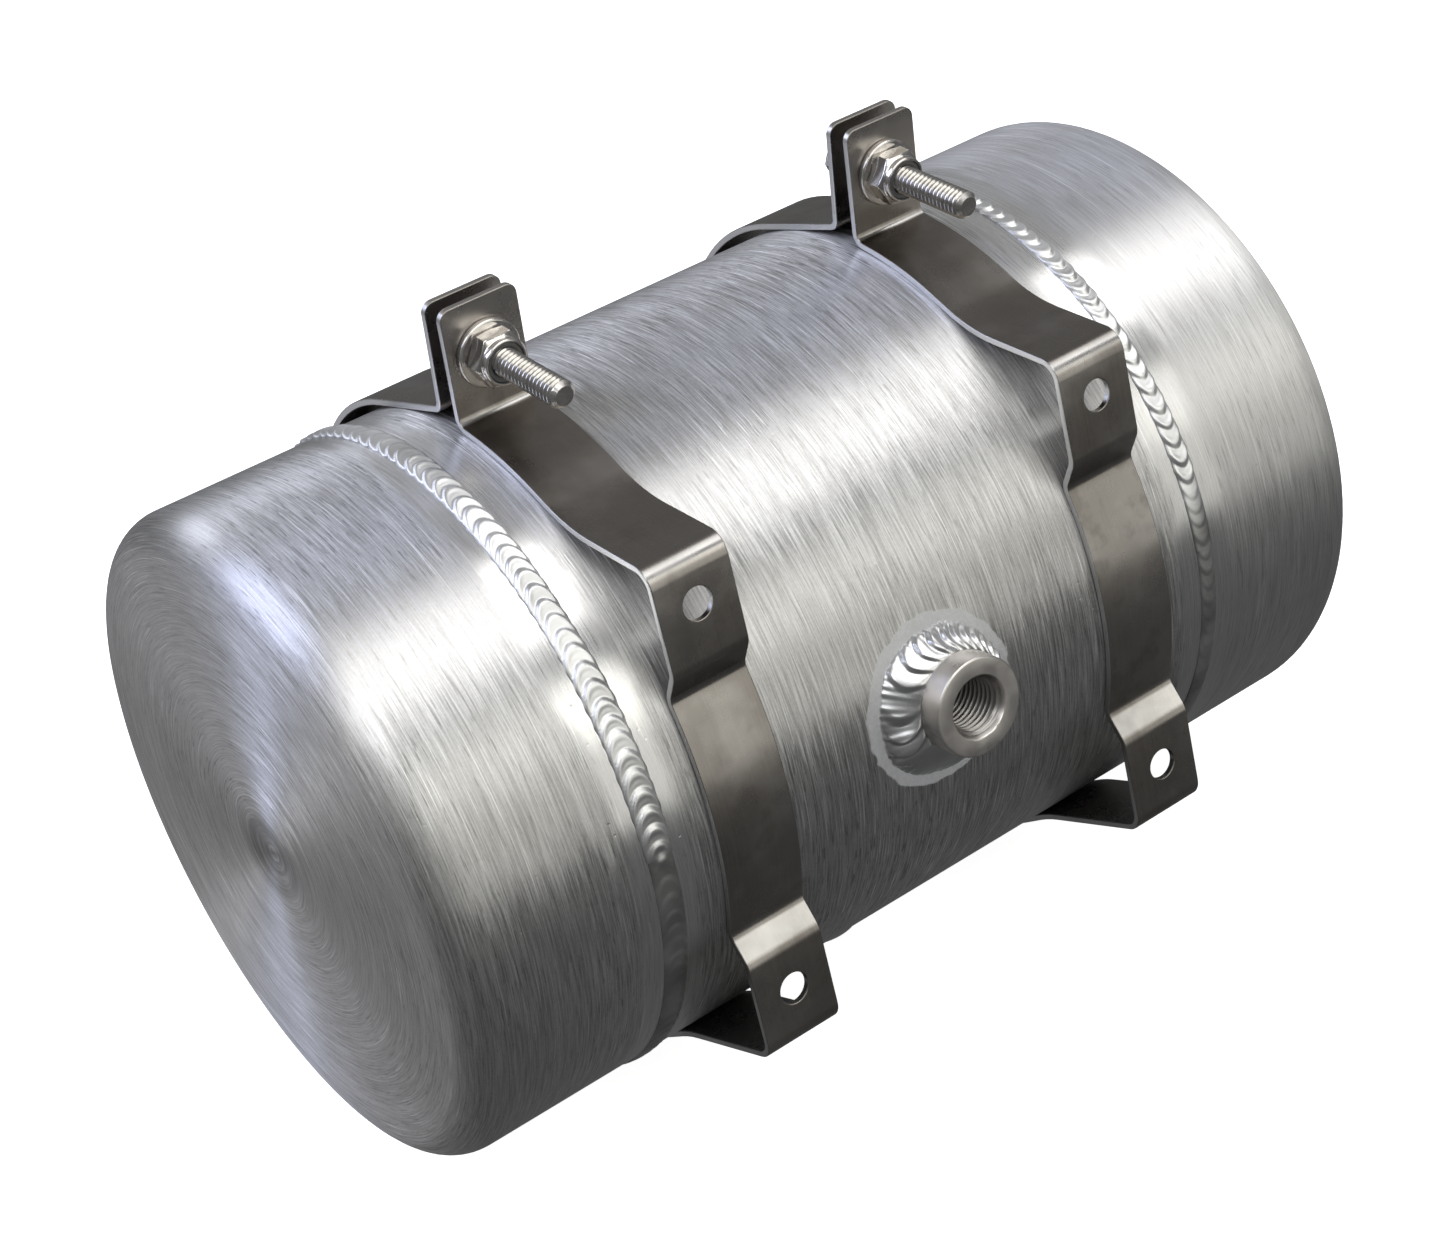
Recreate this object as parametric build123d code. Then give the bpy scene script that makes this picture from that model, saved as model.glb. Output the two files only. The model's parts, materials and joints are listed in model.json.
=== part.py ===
from build123d import *
import math
import os

# Spun aluminium reservoir held by two sprung strap clamps.
# Millimetres. +X runs along the tank, -Y is the front, +Z is up.
# The origin is the middle of the four foot holes, on the outer face of the feet.

# Tank
tank_radius = 76.2
wall = 3.2
barrel_length = 152.0
cup_depth = 50.0
knuckle_radius = 9.0
crown_rise = 1.0
spin_mark_radius = 9.0
spin_mark_depth = 0.8

# Girth welds
groove_half_width = 1.6
groove_depth = 2.4
bead_height = 1.2
bead_widths = {"left": 6.5, "right": 5.0}

# Screwed ports
port_radius = 11.1
port_height = 10.7
port_inner_reach = 2.0
port_thread_radius = 6.24
port_mouth_radius = 7.15
port_rim_chamfer = 0.7
port_weld_radius = 18.0
port_weld_height = 5.2
port_weld_crown = 0.6

# Strap clamps
clamp_spacing = 107.0
strap_width = 19.0
strap_thickness = 1.5
strap_gap = 0.1
foot_face = 76.5
foot_hole_spacing = 91.6
foot_hole_rise = 1.2
foot_hole_radius = 3.55
upper_shelf_slope = 7.0
upper_shelf_distance = 66.9
lower_shelf_slope = 14.0
lower_shelf_distance = 74.3
kick_slope = 32.0
kick_height = 34.7
foot_bend = 3.5
kick_bend = 4.5
shelf_bend = 38.0
rear_bend = 53.0
ear_bend = 3.3

# Clamp ears and their bolts
split_angle = 7.9
ear_tilt = 9.5
rear_ear_lean = 2.5
ear_gap = 4.8
ear_height = 27.8
ear_corner = 2.6
bolt_height = 15.3
ear_hole_radius = 3.45
bolt_radius = 3.175
bolt_length = 38.1
bolt_head_flats = 11.1
bolt_head_height = 4.2
bolt_tip_chamfer = 0.7
washer_radius = 7.5
washer_hole_radius = 3.55
washer_thickness = 1.6
nut_flats = 11.1
nut_hex_height = 4.3
nut_bore_radius = 3.23
nut_collar_radius = 5.1
nut_collar_height = 1.6
insert_radius = 4.4
moving_gap = 0.05
head_gap = 0.02

strap_radius = tank_radius + strap_gap
# The pattern of foot holes sits a little above the level of the tank's axis.
tank_axis = Location((0, foot_face, -foot_hole_rise))


def turned(section):
    """Solid of revolution about X from a section drawn as (x, radius)."""
    return revolve(Plane.XY * section, Axis.X, 360)


def dished_solid(length, radius, corner, rise):
    """Solid cylinder along +X whose far end is a rounded, slightly crowned face."""
    crown = (radius**2 + rise**2) / (2 * rise)
    half_rise = crown - math.sqrt(crown**2 - (radius / 2) ** 2)
    outline = [
        Line((0, 0), (0, radius)),
        Line((0, radius), (length - rise, radius)),
        ThreePointArc((length - rise, radius), (length - half_rise, radius / 2), (length, 0)),
        Line((length, 0), (0, 0)),
    ]
    section = make_face(outline)
    rim = section.vertices().sort_by(lambda vertex: vertex.X + vertex.Y)[-1]
    return turned(fillet(rim, corner))


def groove(half_width, depth):
    """Ring cut that bevels both walls of a butt joint at x = 0."""
    over = 1.0
    slope = half_width / depth
    points = [
        (0, tank_radius - depth),
        (slope * (depth + over), tank_radius + over),
        (-slope * (depth + over), tank_radius + over),
    ]
    return turned(make_face(Polyline(*points, close=True)))


def end_cup():
    """Spun cup, open at x = 0 and dished towards +X."""
    outside = dished_solid(cup_depth, tank_radius, knuckle_radius, crown_rise)
    inside = dished_solid(cup_depth - wall, tank_radius - wall, knuckle_radius - wall, crown_rise)
    ball = (spin_mark_radius**2 + spin_mark_depth**2) / (2 * spin_mark_depth)
    mark = Pos(cup_depth + ball - spin_mark_depth, 0, 0) * Sphere(ball)
    return outside - inside - mark - groove(groove_half_width, groove_depth)


def barrel():
    tube = Cylinder(tank_radius, barrel_length, rotation=(0, 90, 0))
    tube -= Cylinder(tank_radius - wall, barrel_length, rotation=(0, 90, 0))
    for side in (-1, 1):
        tube -= Pos(side * barrel_length / 2, 0, 0) * groove(groove_half_width, groove_depth)
    for frame in port_frames.values():
        tube -= frame * Pos(0, 0, tank_radius) * Cylinder(port_radius, 6 * wall)
    return tube


def girth_weld(bead_width):
    """Weld metal that fills the groove and stands proud of the wall as a low crown."""
    outline = [
        ThreePointArc((-bead_width / 2, tank_radius), (0, tank_radius + bead_height), (bead_width / 2, tank_radius)),
        Polyline(
            (bead_width / 2, tank_radius),
            (groove_half_width, tank_radius),
            (0, tank_radius - groove_depth),
            (-groove_half_width, tank_radius),
            (-bead_width / 2, tank_radius),
        ),
    ]
    return turned(make_face(outline))


# Each port frame has its local Z along the port's axis, pointing out of the tank.
port_frames = {"front": Rotation(90, 0, 0), "bottom": Rotation(180, 0, 0)}


def port_bung():
    """Round weld-in bung with a tapped through bore and a countersunk mouth."""
    inner_end = tank_radius - wall - port_inner_reach
    outer_end = tank_radius + port_height
    mouth_depth = port_mouth_radius - port_thread_radius
    section = Polyline(
        (port_thread_radius, inner_end),
        (port_radius, inner_end),
        (port_radius, outer_end - port_rim_chamfer),
        (port_radius - port_rim_chamfer, outer_end),
        (port_mouth_radius, outer_end),
        (port_thread_radius, outer_end - mouth_depth),
        close=True,
    )
    return revolve(Plane.XZ * make_face(section), Axis.Z, 360)


def port_weld():
    """Slightly crowned fillet weld between the bung and the barrel, cut to the barrel's curve."""
    toe_level = math.sqrt(tank_radius**2 - port_weld_radius**2)
    top_level = tank_radius + port_weld_height
    crown_point = (
        (port_radius + port_weld_radius) / 2 + port_weld_crown,
        (top_level + toe_level) / 2 + port_weld_crown,
    )
    sink_level = toe_level - wall
    section = [
        ThreePointArc((port_radius, top_level), crown_point, (port_weld_radius, toe_level)),
        Polyline(
            (port_weld_radius, toe_level),
            (port_weld_radius, sink_level),
            (port_radius, sink_level),
            (port_radius, top_level),
        ),
    ]
    ring = revolve(Plane.XZ * make_face(section), Axis.Z, 360)
    return ring - Cylinder(tank_radius, 4 * port_weld_radius, rotation=(0, 90, 0))


# A strap is a chain of straight lines joined by tangent arcs, seen along X.
# Each line is (angle of its outward normal, distance from the tank axis), with +Y at 0 degrees and
# +Z at 90. Lines at the strap radius are tangents of the tank, so an arc of that radius between two
# of them hugs the barrel.

def direction(angle):
    return math.cos(math.radians(angle)), math.sin(math.radians(angle))


def crossing(first, second):
    """Point where two lines given by normal angle and distance meet."""
    (a1, d1), (a2, d2) = first, second
    (c1, s1), (c2, s2) = direction(a1), direction(a2)
    det = c1 * s2 - c2 * s1
    return (d1 * s2 - d2 * s1) / det, (c1 * d2 - c2 * d1) / det


def along(angle, point):
    """Distance of a point along a direction in the (Y, Z) plane."""
    cosine, sine = direction(angle)
    return cosine * point[0] + sine * point[1]


def offset_point(point, angle, distance):
    """Point moved along a direction in the (Y, Z) plane."""
    cosine, sine = direction(angle)
    return point[0] + cosine * distance, point[1] + sine * distance


# The bolt is square to the front ear. The rear ear leans a little further towards it.
front_normal = 180 + ear_tilt
rear_normal = 360 + ear_tilt + rear_ear_lean
ear_rise = 90 + ear_tilt
split_point = offset_point((0, 0), 90 + split_angle, strap_radius)
bolt_centre = offset_point(split_point, ear_rise, bolt_height)
front_ear_point = offset_point(bolt_centre, front_normal, ear_gap / 2)
rear_ear_point = offset_point(bolt_centre, front_normal, -ear_gap / 2)
ear_tips = (ear_rise, along(ear_rise, split_point) + ear_height)
inner_face = foot_face - strap_thickness
kick_distance = along(180 + kick_slope, (-inner_face, kick_height))

# (normal angle, inner distance, radius of the bend that follows, measured on the strap's inner face)
strap_lines = [
    (front_normal, along(front_normal, front_ear_point), ear_bend),
    (104.5, strap_radius, strap_radius),
    (119.5, strap_radius, shelf_bend),
    (90 + upper_shelf_slope, upper_shelf_distance - strap_thickness, foot_bend),
    (180, inner_face, foot_bend),
    (180 + kick_slope, kick_distance, kick_bend),
    (161, strap_radius, strap_radius),
    (199, strap_radius, kick_bend),
    (180 - kick_slope, kick_distance, foot_bend),
    (180, inner_face, foot_bend),
    (270 - lower_shelf_slope, lower_shelf_distance - strap_thickness, shelf_bend),
    (245, strap_radius, strap_radius),
    (392, strap_radius, rear_bend),
    (442, strap_radius, ear_bend),
    (rear_normal, along(rear_normal, rear_ear_point), None),
]


def strap_path(offset):
    """Rounded path at a given distance outside the strap's inner face."""
    lines = [(angle, distance + offset) for angle, distance, _ in strap_lines]
    corners = [crossing(first, second) for first, second in zip(lines, lines[1:])]
    radii = []
    for (angle, _, radius), (next_angle, _, _) in zip(strap_lines, strap_lines[1:]):
        radii.append(radius + offset if next_angle > angle else radius - offset)
    points = [crossing(lines[0], ear_tips), *corners, crossing(lines[-1], ear_tips)]
    return FilletPolyline(*points, radius=radii)


# Both hardware frames have their local Z towards the front. The bolt frame's origin is on the
# bolt's axis in the middle of the split, and the rear seat's is on the back of the rear ear.
def frame_at(point, angle):
    return Plane(origin=(0, *point), x_dir=(1, 0, 0), z_dir=(0, *direction(angle))).location


lean = math.radians(rear_ear_lean)
bolt_frame = frame_at(bolt_centre, front_normal)
rear_ear_span = strap_thickness / math.cos(lean)
rear_seat = frame_at(offset_point(rear_ear_point, front_normal, -rear_ear_span), rear_normal - 180)
front_ear_face = ear_gap / 2 + strap_thickness
head_corner_radius = bolt_head_flats / math.sqrt(3)
under_head = -ear_gap / 2 - rear_ear_span - washer_thickness / math.cos(lean)
under_head -= head_corner_radius * math.tan(lean) + head_gap


def clamp_strap():
    """One strip: two ears, two flat feet with holes, and the band round the tank."""
    inner, outer = strap_path(0), strap_path(strap_thickness)
    ends = [Line(inner @ 0, outer @ 0), Line(inner @ 1, outer @ 1)]
    strip = extrude(Plane.YZ * make_face([inner, outer, *ends]), strap_width / 2, both=True)
    top = bolt_frame.inverse()
    tips = [
        edge
        for edge in strip.edges()
        if abs(edge.length - strap_thickness) < 0.01 and (top * edge).center().Y > ear_height - bolt_height - 0.2
    ]
    strip = fillet(tips, ear_corner)
    strip -= bolt_frame * Cylinder(ear_hole_radius, 4 * front_ear_face)
    for side in (-1, 1):
        hole = Cylinder(foot_hole_radius, 8 * strap_thickness, rotation=(90, 0, 0))
        strip -= Pos(0, -foot_face, foot_hole_rise + side * foot_hole_spacing / 2) * hole
    return strip


def hexagon(flats, height):
    return extrude(RegularPolygon(flats / math.sqrt(3), 6), height)


def bolt():
    """Hex bolt, head behind the rear ear, point towards the front."""
    shank = Pos(0, 0, under_head) * extrude(Circle(bolt_radius), bolt_length)
    shank = chamfer(shank.edges().sort_by(Axis.Z)[-1], bolt_tip_chamfer)
    head = Pos(0, 0, under_head - bolt_head_height) * hexagon(bolt_head_flats, bolt_head_height)
    return shank + head


def washer(start):
    ring = Circle(washer_radius) - Circle(washer_hole_radius)
    return Pos(0, 0, start) * extrude(ring, washer_thickness)


front_washer_start = front_ear_face + moving_gap
nut_start = front_washer_start + washer_thickness + moving_gap
insert_start = nut_start + nut_hex_height


def lock_nut():
    """Hex nut with a round collar that is open for the locking insert."""
    body = Pos(0, 0, nut_start) * hexagon(nut_flats, nut_hex_height)
    body += Pos(0, 0, insert_start) * extrude(Circle(nut_collar_radius), nut_collar_height)
    body -= Pos(0, 0, insert_start) * extrude(Circle(insert_radius), nut_collar_height)
    return body - Pos(0, 0, nut_start) * extrude(Circle(nut_bore_radius), nut_hex_height)


def locking_insert():
    ring = Circle(insert_radius) - Circle(nut_bore_radius)
    return Pos(0, 0, insert_start) * extrude(ring, nut_collar_height)


parts = {"barrel": barrel()}
for port, frame in port_frames.items():
    parts[f"{port}_port_bung"] = frame * port_bung()
    parts[f"{port}_port_weld"] = frame * port_weld()

for side, sign in (("left", -1), ("right", 1)):
    at_joint = Pos(sign * barrel_length / 2, 0, 0)
    facing = Rotation(0, 0, 0) if sign > 0 else Rotation(0, 0, 180)
    parts[f"{side}_end_cup"] = at_joint * facing * end_cup()
    parts[f"{side}_girth_weld"] = at_joint * girth_weld(bead_widths[side])

    at_clamp = Pos(sign * clamp_spacing / 2, 0, 0)
    parts[f"{side}_clamp_strap"] = at_clamp * clamp_strap()
    parts[f"{side}_rear_washer"] = at_clamp * rear_seat * washer(-washer_thickness)
    hardware = {
        "clamp_bolt": bolt(),
        "front_washer": washer(front_washer_start),
        "lock_nut": lock_nut(),
        "nylon_insert": locking_insert(),
    }
    for name, shape in hardware.items():
        parts[f"{side}_{name}"] = at_clamp * bolt_frame * shape

os.makedirs("parts", exist_ok=True)
for name, shape in parts.items():
    export_step(tank_axis * shape, f"parts/{name}.step")
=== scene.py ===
import json
import math
import random

import bmesh
import bpy
import numpy as np
from mathutils import Matrix, Vector


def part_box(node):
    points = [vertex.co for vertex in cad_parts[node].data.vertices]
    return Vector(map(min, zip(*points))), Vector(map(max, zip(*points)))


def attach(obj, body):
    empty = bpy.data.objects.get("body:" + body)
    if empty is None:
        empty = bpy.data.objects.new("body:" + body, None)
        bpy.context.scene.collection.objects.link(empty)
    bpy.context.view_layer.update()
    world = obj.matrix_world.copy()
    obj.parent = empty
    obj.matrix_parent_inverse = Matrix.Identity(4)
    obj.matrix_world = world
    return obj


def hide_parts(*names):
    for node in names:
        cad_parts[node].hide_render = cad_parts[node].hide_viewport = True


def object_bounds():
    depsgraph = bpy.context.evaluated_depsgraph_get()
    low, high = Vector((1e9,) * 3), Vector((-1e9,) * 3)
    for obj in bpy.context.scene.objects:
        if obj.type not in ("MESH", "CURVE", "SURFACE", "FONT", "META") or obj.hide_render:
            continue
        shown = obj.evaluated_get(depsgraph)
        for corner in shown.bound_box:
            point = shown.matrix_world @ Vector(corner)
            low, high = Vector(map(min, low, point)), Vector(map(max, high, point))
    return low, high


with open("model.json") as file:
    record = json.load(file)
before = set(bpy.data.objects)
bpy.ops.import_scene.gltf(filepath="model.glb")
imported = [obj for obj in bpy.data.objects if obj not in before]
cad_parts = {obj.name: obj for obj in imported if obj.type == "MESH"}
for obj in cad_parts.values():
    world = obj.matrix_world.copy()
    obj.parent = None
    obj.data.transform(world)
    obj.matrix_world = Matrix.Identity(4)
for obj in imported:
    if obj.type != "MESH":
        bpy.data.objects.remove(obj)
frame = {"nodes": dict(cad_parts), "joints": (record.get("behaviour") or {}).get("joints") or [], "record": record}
cad_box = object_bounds()
MM = 0.001


# ---------------------------------------------------------------- what the frame says

joints = {joint["name"]: joint for joint in frame["joints"]}
mounts = {mount["name"]: mount for mount in frame["record"]["mounts"]}
tank_axis = Vector(joints["tank_turn"]["pos_m"])
barrel_low, barrel_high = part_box("barrel")
tank_radius = (barrel_high.z - barrel_low.z) / 2
seam_x = barrel_high.x


def spread(node, origin, axis):
    """Lowest and highest reach of a CAD node along an axis, and its widest reach from that axis."""
    mesh = frame["nodes"][node].data
    points = np.array([vertex.co for vertex in mesh.vertices]) - np.array(origin)
    along = points @ np.array(axis)
    away = np.linalg.norm(points - np.outer(along, axis), axis=1)
    return along.min(), along.max(), away.max()


# ---------------------------------------------------------------- mesh building

def merged(parts):
    """One bmesh from (vertices, faces) lists, with coincident points joined."""
    mesh = bmesh.new()
    for points, faces in parts:
        made = [mesh.verts.new(point) for point in points]
        for face in faces:
            corners = [made[i] for i in dict.fromkeys(face)]
            if len(corners) > 2:
                mesh.faces.new(corners)
    bmesh.ops.remove_doubles(mesh, verts=mesh.verts, dist=1e-6)
    bmesh.ops.dissolve_degenerate(mesh, edges=mesh.edges, dist=1e-7)
    bmesh.ops.recalc_face_normals(mesh, faces=mesh.faces)
    return mesh


def add_piece(name, mesh, body, material, replaces, sharp):
    """Finished object from a bmesh in the CAD frame, smooth except across edges that turn more than
    sharp degrees."""
    data = bpy.data.meshes.new(name)
    mesh.to_mesh(data)
    mesh.free()
    data.polygons.foreach_set("use_smooth", [True] * len(data.polygons))
    data.set_sharp_from_angle(angle=math.radians(sharp))
    piece = bpy.data.objects.new(name, data)
    bpy.context.scene.collection.objects.link(piece)
    data.materials.append(material)
    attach(piece, body)
    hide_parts(*replaces)


def placed(mesh, matrix):
    bmesh.ops.transform(mesh, matrix=matrix, verts=mesh.verts)
    return mesh


def ring_grid(rings, wrap_rows=False):
    """Faces over rings of points that each go once round. Rings are arrays of equal length."""
    count = len(rings[0])
    points = [tuple(point) for ring in rings for point in ring]
    faces = []
    pairs = len(rings) if wrap_rows else len(rings) - 1
    for row in range(pairs):
        below, above = row * count, (row + 1) % len(rings) * count
        for column in range(count):
            after = (column + 1) % count
            faces.append((below + column, below + after, above + after, above + column))
    return points, faces


def turned(profile, columns, closed=False):
    """Surface of revolution about local Z. Each profile entry is (height, radius), and the radius
    may be an array with one value for each column."""
    angles = np.arange(columns) / columns * 2 * math.pi
    rings = []
    for height, radius in profile:
        reach = np.broadcast_to(radius, angles.shape)
        heights = np.full(columns, height)
        rings.append(np.stack([reach * np.cos(angles), reach * np.sin(angles), heights], axis=1))
    return ring_grid(rings, wrap_rows=closed)


def disc(height, radius, columns):
    """Flat round end that closes a turned surface."""
    return turned([(height, radius), (height, radius * 0.5), (height, 1e-7)], columns)


def thread_wall(start, end, pitch, columns, steps, radius_at):
    """Helical wall round local Z. Its rows follow the helix, so crests and roots stay crisp.
    radius_at gives the radius from the phase of the thread and the height."""
    rows = int((end - start) / pitch + 2) * steps
    points = []
    for row in range(rows + 1):
        for column in range(columns):
            angle = column / columns * 2 * math.pi
            height = start + (row / steps + column / columns - 1) * pitch
            height = min(max(height, start), end)
            reach = radius_at(row / steps % 1, height)
            points.append((reach * math.cos(angle), reach * math.sin(angle), height))
    faces = []
    for row in range(rows):
        for column in range(columns):
            corners = []
            for r, c in ((row, column), (row, column + 1), (row + 1, column + 1), (row + 1, column)):
                if c == columns:
                    r, c = min(r + steps, rows), 0
                corners.append(r * columns + c)
            faces.append(corners)
    return points, faces


def thread_depth(phase, depth):
    """Depth below the crest of a 60 degree thread with a narrow flat crest and a round root."""
    crest = 0.16
    if phase < crest:
        return 0.0
    fall = (phase - crest) / (1 - crest)
    return depth * (1 - abs(2 * fall - 1) ** 1.25)


def hexagon_radius(flats, columns):
    """Radius of a hexagon at each column, with two corners on local X."""
    angles = np.arange(columns) / columns * 2 * math.pi
    return flats / 2 / np.cos((angles % (math.pi / 3)) - math.pi / 6)


def softened_copy(node, name, width, segments, body, material):
    """Copy of a CAD node whose hard edges are rounded a little, as a cut and tumbled edge is."""
    mesh = bmesh.new()
    mesh.from_mesh(frame["nodes"][node].data)
    bmesh.ops.remove_doubles(mesh, verts=mesh.verts, dist=1e-6)
    # One cut down the middle of the strip meets every hole squarely. The other edges in the flat
    # faces go, because a rounding would run out along them.
    low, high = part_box(node)
    middle = (low.x + high.x) / 2
    bmesh.ops.bisect_plane(
        mesh, geom=mesh.verts[:] + mesh.edges[:] + mesh.faces[:], dist=1e-7,
        plane_co=(middle, 0, 0), plane_no=(1, 0, 0),
    )
    cut = {vertex for vertex in mesh.verts if abs(vertex.co.x - middle) < 1e-6}
    bmesh.ops.dissolve_limit(
        mesh,
        angle_limit=math.radians(0.4),
        verts=[vertex for vertex in mesh.verts if vertex not in cut],
        edges=[edge for edge in mesh.edges if not cut.issuperset(edge.verts)],
        delimit={"NORMAL"},
    )
    hard = [
        edge
        for edge in mesh.edges
        if len(edge.link_faces) == 2 and edge.calc_face_angle() > math.radians(40)
    ]
    bmesh.ops.bevel(
        mesh, geom=hard, offset=width, offset_type="OFFSET", segments=segments,
        profile=0.5, affect="EDGES", clamp_overlap=False,
    )
    add_piece(name, mesh, body, material, replaces=[node], sharp=18)


# ---------------------------------------------------------------- materials

class Graph:
    """Small helper that writes a material as a node graph."""

    def __init__(self, name):
        self.material = bpy.data.materials.new(name)
        self.material.use_nodes = True
        self.tree = self.material.node_tree
        self.tree.nodes.clear()
        self.shader = self.node("ShaderNodeBsdfPrincipled")
        output = self.node("ShaderNodeOutputMaterial")
        self.tree.links.new(self.shader.outputs[0], output.inputs[0])
        place = self.node("ShaderNodeTexCoord").outputs["Object"]
        self.place = place
        self.x, self.y, self.z = self.node("ShaderNodeSeparateXYZ", {0: place}).outputs

    def node(self, kind, inputs=None, **settings):
        made = self.tree.nodes.new(kind)
        for key, value in settings.items():
            setattr(made, key, value)
        for key, value in (inputs or {}).items():
            if isinstance(value, bpy.types.NodeSocket):
                self.tree.links.new(value, made.inputs[key])
            else:
                made.inputs[key].default_value = value
        return made

    def math(self, operation, *values):
        return self.node("ShaderNodeMath", dict(enumerate(values)), operation=operation).outputs[0]

    def scaled(self, value, factor):
        return self.math("MULTIPLY", value, factor)

    def swing(self, value, amount):
        """A value from 0 to 1 made into one that swings to both sides of nothing."""
        return self.scaled(self.math("SUBTRACT", value, 0.5), amount)

    def vector(self, x, y, z):
        return self.node("ShaderNodeCombineXYZ", {0: x, 1: y, 2: z}).outputs[0]

    def noise(self, vector, scale, detail=2.0, roughness=0.5):
        made = self.node(
            "ShaderNodeTexNoise",
            {"Vector": vector, "Scale": scale, "Detail": detail, "Roughness": roughness},
        )
        return made.outputs[0]

    def remap(self, value, low, high, new_low, new_high, smooth=False):
        made = self.node(
            "ShaderNodeMapRange",
            {"Value": value, "From Min": low, "From Max": high, "To Min": new_low, "To Max": new_high},
            interpolation_type="SMOOTHSTEP" if smooth else "LINEAR",
        )
        return made.outputs[0]

    def mixed(self, factor, first, second):
        """Colour between two others."""
        return self.node("ShaderNodeMix", {0: factor, 6: first, 7: second}, data_type="RGBA").outputs[2]

    def mixed_value(self, factor, first, second):
        values = {0: factor, 2: first, 3: second}
        return self.node("ShaderNodeMix", values, data_type="FLOAT").outputs[0]

    def distance(self, *parts):
        total = None
        for part in parts:
            square = self.math("MULTIPLY", part, part)
            total = square if total is None else self.math("ADD", total, square)
        return self.math("SQRT", total)

    def bump(self, height, distance, strength=1.0, normal=None):
        inputs = {"Height": height, "Distance": distance, "Strength": strength}
        if normal is not None:
            inputs["Normal"] = normal
        return self.node("ShaderNodeBump", inputs).outputs[0]

    def round_tank(self):
        """Distance from the tank's axis, and the two offsets from it."""
        across = self.math("SUBTRACT", self.y, tank_axis.y)
        up = self.math("SUBTRACT", self.z, tank_axis.z)
        return self.distance(across, up), across, up

    def finish(self, **values):
        for key, value in values.items():
            socket = self.shader.inputs[key.replace("_", " ")]
            if isinstance(value, bpy.types.NodeSocket):
                self.tree.links.new(value, socket)
            else:
                socket.default_value = value
        return self.material


def grey(level, warmth=0.0):
    """Neutral colour, warmer above zero and cooler below."""
    return (level * (1 + warmth), level, level * (1 - warmth), 1.0)


# Height or depth, from the tank's axis, at which a surface counts as part of a port.
port_start, port_full = -45 * MM, -55 * MM


def clear_of_seams(g):
    """1 on sanded metal, falling to 0 beside the girth seams along a ragged line."""
    gap = g.math("ABSOLUTE", g.math("SUBTRACT", g.math("ABSOLUTE", g.x), seam_x))
    wobble = g.swing(g.noise(g.place, 45.0, 3.0), 9 * MM)
    return g.remap(g.math("ADD", gap, wobble), 6 * MM, 10 * MM, 0.0, 1.0, smooth=True)


def port_border(g, across, up):
    """1 on the pale ragged border round each port's weld, which sits a little off the axis."""
    aside = g.math("ADD", g.x, 1.9 * MM)
    front = g.distance(aside, g.math("ADD", up, 0.6 * MM))
    below = g.distance(aside, g.math("SUBTRACT", across, 0.6 * MM))
    ragged = g.swing(g.noise(g.place, 300.0, 3.0), 2.4 * MM)
    borders = []
    for reach, depth in ((front, across), (below, up)):
        edge = g.remap(g.math("ADD", reach, ragged), 19.2 * MM, 19.7 * MM, 1.0, 0.0, smooth=True)
        here = g.remap(depth, port_start, port_full, 0.0, 1.0)
        borders.append(g.math("MULTIPLY", edge, here))
    return g.math("MAXIMUM", *borders)


def tilted_round(g, normal, sway, radius, across, up):
    """Normal tilted round the tank by a small sway, free of any lean that the mesh's facets have:
    the surface is round about X, so its own normal can't lean that way."""
    way_round = g.vector(
        0.0, g.math("DIVIDE", up, radius), g.math("DIVIDE", g.scaled(across, -1.0), radius)
    )
    way_round = g.node(
        "ShaderNodeVectorTransform", {0: way_round},
        vector_type="NORMAL", convert_from="OBJECT", convert_to="WORLD",
    ).outputs[0]
    own_normal = g.node("ShaderNodeNewGeometry").outputs["Normal"]
    lean = g.node("ShaderNodeVectorMath", {0: own_normal, 1: way_round}, operation="DOT_PRODUCT")
    sway = g.math("SUBTRACT", sway, g.remap(lean.outputs["Value"], -0.06, 0.06, -0.06, 0.06))
    tilt = g.node("ShaderNodeVectorMath", {0: way_round, "Scale": sway}, operation="SCALE").outputs[0]
    normal = g.node("ShaderNodeVectorMath", {0: normal, 1: tilt}, operation="ADD").outputs[0]
    return g.node("ShaderNodeVectorMath", {0: normal}, operation="NORMALIZE").outputs[0]


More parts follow.
